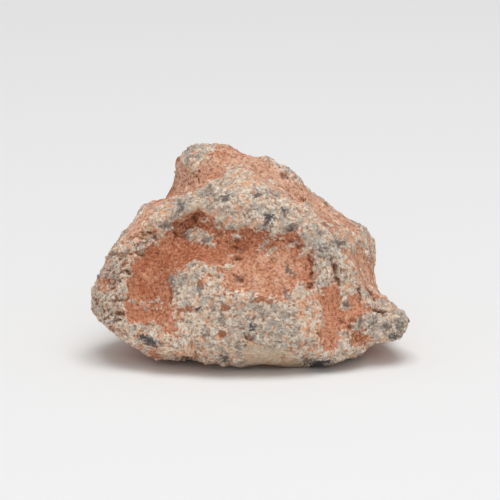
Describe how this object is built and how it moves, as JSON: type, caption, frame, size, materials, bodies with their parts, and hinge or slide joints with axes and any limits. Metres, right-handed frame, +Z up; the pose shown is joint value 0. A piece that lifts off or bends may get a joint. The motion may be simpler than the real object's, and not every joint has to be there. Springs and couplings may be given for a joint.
{
  "type": "lunar meteorite",
  "caption": "Loose breccia stone with a hollowed front face under an overhanging brow, a higher blunt summit behind, a blunt nose at one foot and a flat broken underside.",
  "frame": {"origin": "middle of the bounding box, on the flat face that the stone rests on", "axes": "+Z up from the resting face, +X along the stone's length towards its nose, -Y towards the viewer who faces the hollowed side"},
  "size_m": [0.0444, 0.0312, 0.0274],
  "materials": {
    "breccia": "matte"
  },
  "bodies": {
    "root": {"meteorite": "breccia"}
  },
  "joints": []
}
